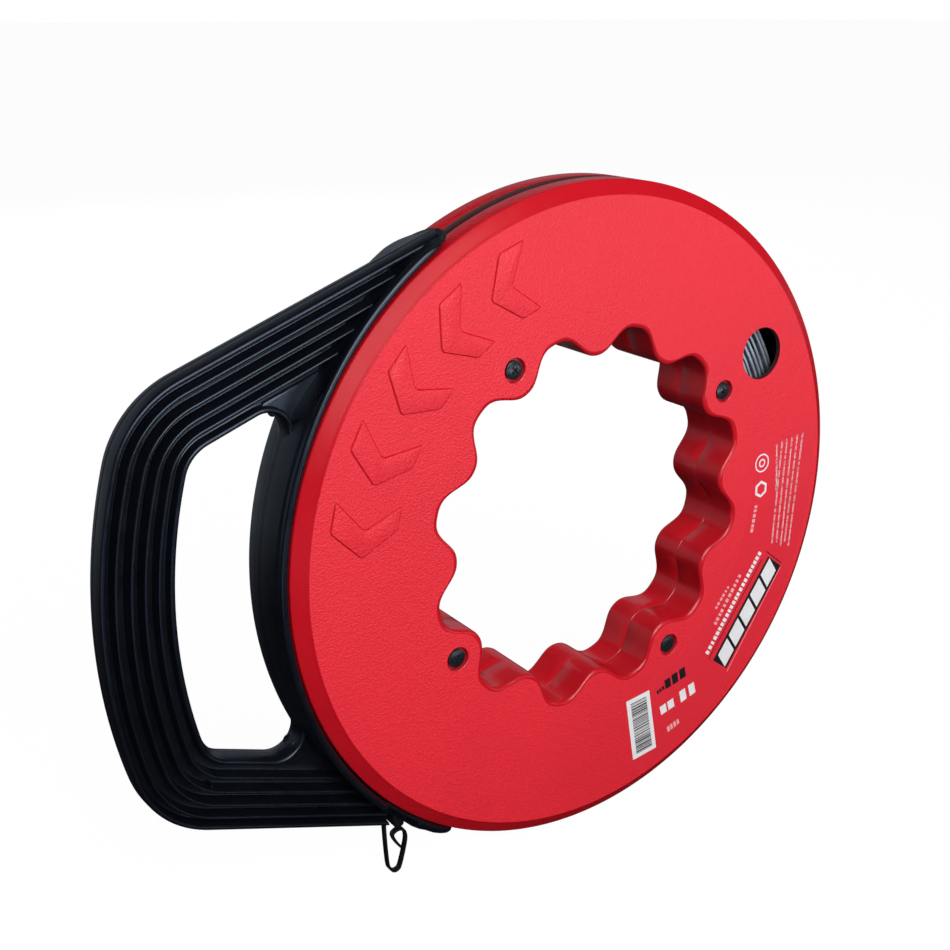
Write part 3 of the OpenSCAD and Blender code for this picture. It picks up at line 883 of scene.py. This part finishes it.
# Notch below the saddle, and the same with a gap in the middle for the tape
NOTCH = [(156.3, 0.0), (156.3, 14.2), (156.9, 14.7), (157.7, 14.6), (157.7, 7.2),
         (161.2, 7.0), (162.1, 0.3), (161.9, 0.0)]
PASSAGE = [(156.3, 2.5)] + NOTCH[1:-2] + [(161.9, 2.5)]
RAIL = [(158.0, 0.0), (158.0, 2.6), (150.4, 2.6), (150.4, 7.3), (150.2, 7.5), (147.2, 7.5),
        (147.0, 7.3), (147.0, 0.0)]
HANDLE_CENTRE = (0.0, LIFT)
BAND_JOIN = 130.5                  # degrees; the closely stepped tip ends here
TIP_ANGLES = ([TIP_A + 0.4 + 4.5 * (1 - math.cos(k / 14 * math.pi / 2)) for k in range(14)]
              + [123.1 + 0.9 * k for k in range(8)] + [BAND_JOIN])


def rib(inset, height, base=0.98, top=0.62):
    """Profile of one rib; base and top are its half widths."""
    half = [(base + 0.55, 1.5), (base + 0.15, 1.62), (base - 0.02, 2.1),
            (top + 0.12, height - 0.9), (top, height - 0.42), (top * 0.62, height - 0.1)]
    return ([(inset - w, y) for w, y in half] + [(inset, height)]
            + [(inset + w, y) for w, y in half[::-1]])


def path_sections(path_at, profile, side):
    """Sections made of a path's offset copies, one for each (offset, y) of a profile."""
    paths = [path_at(offset) for offset, y in profile]
    return [[(path[k][0], side * y, path[k][1] + LIFT)
             for path, (_, y) in zip(paths, profile)] for k in range(len(paths[0]))]


def trim_to_arm(radius, angle, y, side):
    """Keeps the saddle's ends inside the arm's outer edge."""
    if angle > 135 or radius < 157.06:
        return radius
    bead = 1.1 if y > 13.3 and side == FRONT else 0.0
    limit = (ARM_H - 0.09 * y + bead) / math.cos((angle - ARM_ANGLE) * DEG)
    return min(radius, max(157.2, limit))


def thin_at_ribs(radius, angle, y, side):
    """The front saddle is thin where the ribs run up to its bead."""
    base = 157.9 + (13.4 - y) * 0.1
    if side == REAR or y > 13.5 or radius <= base:
        return radius
    w = min(1.0, max(0.0, ((angle if angle < 180 else 360 - angle) - 146) / 7.5))
    return base + (radius - base) * w * w * (3 - 2 * w)


def tip_depth(angle, start, tip):
    """Share of the full depth near a rounded tip."""
    round_r, half_depth = tip
    x = (angle - start) * DEG * 158.6
    if x >= round_r:
        return 1.0
    drop = math.sqrt(max(0.0, round_r * round_r - (round_r - max(x, 0.0)) ** 2))
    return (half_depth - round_r + drop) / half_depth


def add_saddle_bands(soup, side):
    """Adds nothing; add_saddle makes the long band from the upper tip and the short one from
    the lower tip.
    """
    for angle in (None,):
        pass


def add_band(soup, side, section, angles, tip, below):
    """A saddle band; below mirrors it under the middle."""
    rings = []
    for a in angles:
        depth = tip_depth(a, angles[0], tip)
        if side == REAR and not below:
            depth *= 0.8 + 0.2 * min(1.0, max(0.0, (a - 119) / 12))
        profile = []
        for r, y in section:
            r = r if below else thin_at_ribs(r, a, y, side)
            profile.append((trim_to_arm(r, a, y, side), y * depth))
        rings.append(section_at(profile, 360 - a if below else a, side, HANDLE_CENTRE))
    soup.sweep(rings)


def add_arc(soup, side, section, start, end, count):
    soup.sweep([section_at(section, a, side, HANDLE_CENTRE)
                for a in np.linspace(start, end, count)])


def add_saddle(soup, side):
    far = list(np.linspace(BAND_JOIN, 223.4, 74))
    add_band(soup, side, SADDLE[side], TIP_ANGLES + far[1:], TIP[side], below=False)
    stop = 360 - 231.4
    near = [a for a in TIP_ANGLES if a < stop - 0.2] + [stop]
    add_band(soup, side, LOWER_SADDLE, near, LOWER_TIP, below=True)
    add_arc(soup, side, PASSAGE, 223.3, 229.8, 6)
    add_arc(soup, side, NOTCH, 229.8, 231.5, 6)


def add_rail(soup, side):
    """The rail in the slot of the case, and two plain steps where it ends."""
    for start, end in ((124, 215), (233, 238.6)):
        add_arc(soup, side, RAIL, start, end, max(4, int((end - start) / 2)))
    for start, end, inner in ((214.6, 220.2, 152.5), (220.0, 222.3, 155.5)):
        step = [(158.0, 0.0), (158.0, 2.6), (inner, 2.6), (inner, 0.0)]
        add_arc(soup, side, step, start, end, 4)


def add_corner_plates(soup, side):
    """Thick corners beside the opening, above and below."""
    height, case_r, first_a = ARM_H - 27.5, 159.2, 157
    arm_end = height * ARM_OUT + reach(height, case_r) * ARM_ALONG
    end_a = math.atan2(arm_end[1], arm_end[0])
    arc = [case_r * direction(between(first_a * DEG, end_a, k, 14)) for k in range(15)]
    line = [arm_end + ARM_ALONG * x for x in np.linspace(3, 26, 5)]
    edge = [p for p in opening(1.2)[:40]
            if p[1] > 0 and math.degrees(math.atan2(p[1], p[0])) < first_a
            and p[0] > line[-1][0] - 3]
    for flip in (1, -1):
        outline = [(p[0], flip * p[1] + LIFT) for p in arc + line + edge[::-1]]
        cx = sum(p[0] for p in outline) / len(outline)
        cz = sum(p[1] for p in outline) / len(outline)
        rings = [[(p[0], y, p[1]) for p in outline] for y in (0.0, side * 2.85)]
        rings.append([(cx + (p[0] - cx) * 0.985, side * 3.0, cz + (p[1] - cz) * 0.985)
                      for p in outline])
        soup.sweep(rings)


def add_ticks(soup, side):
    """Small moulding ticks beside two ribs."""
    for x, z in ((-185.5, 78.0), (-189.6, -75.5)):
        soup.prism([(x + u, z + v + LIFT) for u, v in (
            (-0.35, -0.9), (0.35, -0.9), (0.35, 0.9), (-0.35, 0.9))], 0.0, side * 6.25)


def handle_half(piece, side):
    soup = Soup()
    profile = OUTER_WALL[side] + WALL_FOOT
    for inset, height in RIBS:
        profile += rib(inset, height)
    soup.sweep(path_sections(arm_path, profile + ARM_INNER_EDGE, side))
    soup.sweep(path_sections(opening, OPENING_WALL, side), closed_path=True)
    add_saddle(soup, side)
    add_rail(soup, side)
    add_corner_plates(soup, side)
    add_ticks(soup, side)
    ob = make(piece + "_skin", soup, [HANDLE_BLACK], "handle", 42)
    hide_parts(piece)


handle_half("front_handle_half", FRONT)
handle_half("rear_handle_half", REAR)


def handle_rivets():
    """Flush ends with a ring round them in front, pan heads behind."""
    pin = [(0, -3.25), (1.25, -3.25), (1.4, -3.1), (1.4, 3.1), (2.45, 3.1), (2.6, 3.3),
           (2.5, 3.8), (1.9, 4.15), (1.0, 4.28), (0, 4.3)]
    collar = [(1.75, -2.9), (1.75, -3.12), (1.85, -3.2), (2.05, -3.2), (2.15, -3.12),
              (2.15, -2.9)]
    soup = Soup()
    for z in (72.5, -72.5):
        soup.lathe(pin, 40, (-150.6, z + LIFT))
        soup.lathe(collar, 48, (-150.6, z + LIFT))
    ob = make("handle_rivets_skin", soup, [HANDLE_BLACK], "handle", 40)
    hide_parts("handle_rivets")


handle_rivets()


# ---------------------------------------------------------------- exit guide
def lead_at_radius(radius, off):
    """Where the line beside the tape end reaches a radius, found step by step."""
    along = 60.0
    for _ in range(60):
        point = lead(along, off)
        along += (radius - np.linalg.norm(point)) * 0.7
    return point


def exit_guide():
    """A block between the tape end and the case, with eased front and rear edges."""
    case_r, off = 157.9, -1.15
    left = lead_at_radius(case_r, off)
    left_a = math.degrees(math.atan2(left[1], left[0]))
    right_a = math.degrees(math.atan2(-121.45, -101.0))
    outline = [lead(94.5, off)]
    outline += [np.array(p) for p in ((-105.3, -126.6), (-102.6, -126.9), (-101.4, -126.3),
                                      (-101.0, -125.4))]
    outline += [polar(case_r, between(right_a, left_a, k, 6)) for k in range(7)]
    centre = sum(outline) / len(outline)
    soup = Soup()
    # size of the outline about its centre, y
    soup.sweep([[(centre[0] + (p[0] - centre[0]) * size, y,
                  centre[1] + (p[1] - centre[1]) * size) for p in outline]
                for size, y in ((0.9, -7.0), (0.975, -6.85), (1.0, -6.45),
                                (1.0, 6.45), (0.975, 6.85), (0.9, 7.0))])
    ob = make("exit_guide_skin", soup, [GUIDE_BLACK], "handle", 40)
    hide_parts("exit_guide")


exit_guide()

# ---------------------------------------------------------------- tape end and hook
# (x, z) along the hook
HOOK = [(-107.5, -129.1), (-107.0, -138.6), (-106.1, -148.4), (-104.8, -151.5),
        (-103.0, -153.2), (-101.0, -153.0), (-99.8, -151.4), (-97.8, -144.7),
        (-96.5, -138.2), (-97.4, -134.3), (-99.7, -132.7), (-102.3, -133.1),
        (-103.4, -134.7), (-101.8, -138.4), (-99.2, -142.2)]


def spline(points, steps):
    """A Catmull-Rom curve through the points."""
    path = []
    for i in range(len(points) - 1):
        p0, p1, p2 = points[max(i - 1, 0)], points[i], points[i + 1]
        p3 = points[min(i + 2, len(points) - 1)]
        for k in range(steps):
            t = k / steps
            path.append(0.5 * ((2 * p1) + (-p0 + p2) * t
                               + (2 * p0 - 5 * p1 + 4 * p2 - p3) * t * t
                               + (-p0 + 3 * p1 - 3 * p2 + p3) * t ** 3))
    return path + [points[-1]]


def tape_lead():
    thick, wide = 0.62, 1.4        # half thickness and half width of the strip
    # (across the thickness, y), with eased corners
    section = [(-thick, -wide + 0.35), (-thick + 0.1, -wide + 0.1), (-thick + 0.35, -wide),
               (thick - 0.35, -wide), (thick - 0.1, -wide + 0.1), (thick, -wide + 0.35),
               (thick, wide - 0.35), (thick - 0.1, wide - 0.1), (thick - 0.35, wide),
               (-thick + 0.35, wide), (-thick + 0.1, wide - 0.1), (-thick, wide - 0.35)]
    points = [lead(s) for s in (0, 30, 60, 90)] + [np.array(p, float) for p in HOOK]
    path = spline(points, 6)
    last = len(path) - 1
    rings = []
    for i, p in enumerate(path):
        along = unit(path[min(i + 1, last)] - path[max(i - 1, 0)])
        size = 0.72 if i == last else 1.0
        rings.append([(p[0] - along[1] * u * size, v * size, p[1] + along[0] * u * size)
                      for u, v in section])
    soup = Soup()
    soup.sweep(rings)
    ob = make("tape_lead_strip", soup, [LEAD_STEEL], "tape", 40)
    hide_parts("tape_lead")


tape_lead()


# ---------------------------------------------------------------- stage, in metres
def floor_material():
    """Near white to the camera; the object sees it pale behind and dim in front."""
    mat = bpy.data.materials.new("stage_floor")
    mat.use_nodes = True
    tree = mat.node_tree
    tree.nodes.remove(tree.nodes["Principled BSDF"])
    is_camera = add_node(tree, "ShaderNodeLightPath").outputs["Is Camera Ray"]
    glow = add_node(tree, "ShaderNodeEmission", {"Color": (1, 1, 1, 1), "Strength": 0.965})
    noise = add_node(tree, "ShaderNodeTexNoise", {"Scale": 3.0})
    ramp = add_node(tree, "ShaderNodeValToRGB", {"Fac": noise.outputs["Fac"]})
    for stop, grey in zip(ramp.color_ramp.elements, (0.05, 0.055)):
        stop.color = (grey, grey, grey, 1)
    matt = add_node(tree, "ShaderNodeBsdfDiffuse", {"Color": ramp.outputs["Color"]})
    seen = add_node(tree, "ShaderNodeAddShader", {0: glow.outputs[0], 1: matt.outputs[0]})
    place = add_node(tree, "ShaderNodeNewGeometry").outputs["Position"]
    axes = add_node(tree, "ShaderNodeSeparateXYZ", {"Vector": place})
    behind = smooth_step(tree, axes.outputs["Y"], off=0.15, on=0.9)
    gain, base = 0.22, 0.015
    strength = math_node(tree, "ADD", math_node(tree, "MULTIPLY", behind, gain), base)
    reflected = add_node(tree, "ShaderNodeEmission",
                         {"Color": (0.84, 0.91, 1.0, 1), "Strength": strength})
    mix = add_node(tree, "ShaderNodeMixShader",
                   {0: is_camera, 1: reflected.outputs[0], 2: seen.outputs[0]})
    tree.links.new(mix.outputs[0], tree.nodes["Material Output"].inputs["Surface"])
    return mat


def stage_floor():
    half, z = 40, -(CASE_R + 0.05) * MM          # just under the case
    mat = floor_material()
    mesh = bpy.data.meshes.new("stage_floor")
    corners = [(-half, -half, z), (half, -half, z), (half, half, z), (-half, half, z)]
    mesh.from_pydata(corners, [], [(0, 1, 2, 3)])
    mesh.materials.append(mat)
    add_object("stage_floor", mesh)


def studio_world():
    """White to the camera; otherwise dim, with a brighter wall low behind the object."""
    wall, ambient = 0.3, 0.02
    world = bpy.data.worlds.new("studio")
    bpy.context.scene.world = world
    world.use_nodes = True
    tree = world.node_tree
    is_camera = add_node(tree, "ShaderNodeLightPath").outputs["Is Camera Ray"]
    place = add_node(tree, "ShaderNodeTexCoord").outputs["Generated"]
    axes = add_node(tree, "ShaderNodeSeparateXYZ", {"Vector": place})
    behind = smooth_step(tree, axes.outputs["Y"], off=0.0, on=0.45)
    low = smooth_step(tree, axes.outputs["Z"], off=0.62, on=0.44)
    region = math_node(tree, "MULTIPLY", behind, low)
    strength = math_node(tree, "ADD", math_node(tree, "MULTIPLY", region, wall), ambient)
    strength = math_node(tree, "MAXIMUM", strength, is_camera)
    tint = add_node(tree, "ShaderNodeMix", {
        "A": (0.8, 0.89, 1.0, 1), "B": (1, 1, 1, 1), "Factor": is_camera}, data_type="RGBA")
    background = tree.nodes["Background"]
    tree.links.new(tint.outputs["Result"], background.inputs["Color"])
    tree.links.new(strength, background.inputs["Strength"])


def aim(ob, location, back):
    """Places an object with its +Z axis along back, so that it looks the other way."""
    ob.location = location
    ob.rotation_mode = "QUATERNION"
    ob.rotation_quaternion = back


def area_light(name, location, target, size, power, colour):
    light = bpy.data.lights.new(name, "AREA")
    light.shape = "RECTANGLE"
    light.size, light.size_y = size
    light.energy = power
    light.color = colour
    ob = bpy.data.objects.new(name, light)
    aim(ob, location, (Vector(target) - Vector(location)).to_track_quat("-Z", "Y"))
    bpy.context.scene.collection.objects.link(ob)
    return ob


def lights():
    area_light("key_front", location=(-0.35, -1.9, 1.05), target=(0.0, 0, 0.0),
               size=(2.0, 1.5), power=60.0, colour=(1.0, 0.985, 0.975))
    area_light("top_front", location=(-0.1, -0.75, 1.7), target=(-0.05, 0, 0),
               size=(1.5, 0.8), power=5.0, colour=(0.8, 0.9, 1.0))
    area_light("table_right", location=(0.7, -1.15, -0.15), target=(0.7, -1.15, 1),
               size=(1.3, 0.9), power=17.0, colour=(0.8, 0.88, 1.0))
    fill = area_light("back_fill", location=(0.5, 1.9, 0.9), target=(0.0, 0, 0.0),
                      size=(1.8, 1.2), power=20.0, colour=(1.0, 0.98, 0.97))
    fill.visible_glossy = False
    area_light("table_left", location=(-0.8, -0.5, -0.15), target=(-0.8, -0.5, 1),
               size=(0.8, 0.8), power=1.6, colour=(0.6, 0.76, 1.0))


def camera():
    """Looks from the front left, slightly down."""
    azimuth, elevation = 35.5686 * DEG, 15.2163 * DEG
    data = bpy.data.cameras.new("camera")
    data.sensor_width = 36.0
    data.lens = 49.86936
    data.shift_x, data.shift_y = -0.022171579, -0.113190526
    data.clip_start, data.clip_end = 0.05, 100
    back = Vector((-math.sin(azimuth) * math.cos(elevation),
                   -math.cos(azimuth) * math.cos(elevation), math.sin(elevation)))
    ob = add_object("camera", data)
    aim(ob, (-0.36694, -0.44955, 0.22564), back.to_track_quat("Z", "Y"))
    bpy.context.scene.camera = ob


stage_floor()
studio_world()
lights()
camera()

view = bpy.context.scene.view_settings
view.view_transform = "Standard"
view.look = "None"
view.exposure = 0.0
